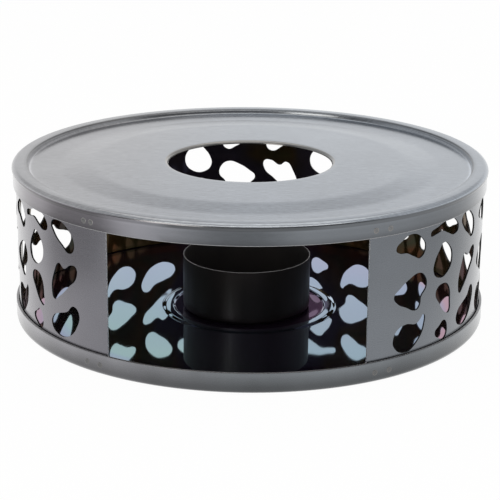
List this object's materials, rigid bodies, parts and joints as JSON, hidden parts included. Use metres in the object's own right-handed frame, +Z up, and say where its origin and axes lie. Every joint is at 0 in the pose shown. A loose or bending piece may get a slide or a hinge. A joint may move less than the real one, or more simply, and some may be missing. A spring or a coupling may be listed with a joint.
{
  "type": "teapot warmer",
  "caption": "Low round teapot warmer of pressed steel: rimmed top plate with a centre hole, pebble-perforated side band with an open window, floor tray and a loose tea light cup.",
  "frame": {"origin": "centre of the underside, where the warmer stands on a table", "axes": "+Z up, the open window faces -Y"},
  "size_m": [0.15, 0.15, 0.05],
  "materials": {
    "deck_steel": "straight fine brushing on top, satin on the skirt",
    "wall_steel": "brushed outside, polished inside",
    "base_steel": "polished inside, brushed on the skirt",
    "weld_steel": "dull pressed spot",
    "cup_black": "satin black with a bare cut rim"
  },
  "bodies": {
    "warmer": {"deck_plate": "deck_steel", "side_wall": "wall_steel", "base_tray": "base_steel", "deck_spot_weld_1": "weld_steel", "deck_spot_weld_2": "weld_steel", "deck_spot_weld_3": "weld_steel", "deck_spot_weld_4": "weld_steel", "deck_spot_weld_5": "weld_steel", "deck_spot_weld_6": "weld_steel", "base_spot_weld_1": "weld_steel", "base_spot_weld_2": "weld_steel", "base_spot_weld_3": "weld_steel", "base_spot_weld_4": "weld_steel", "base_spot_weld_5": "weld_steel", "base_spot_weld_6": "weld_steel"},
    "cup": {"tealight_cup": "cup_black"}
  },
  "joints": [
    {"name": "cup_lift", "type": "slide", "parent": "warmer", "child": "cup", "axis": [0, 0, 1], "range_m": [0, 0.055]}
  ]
}
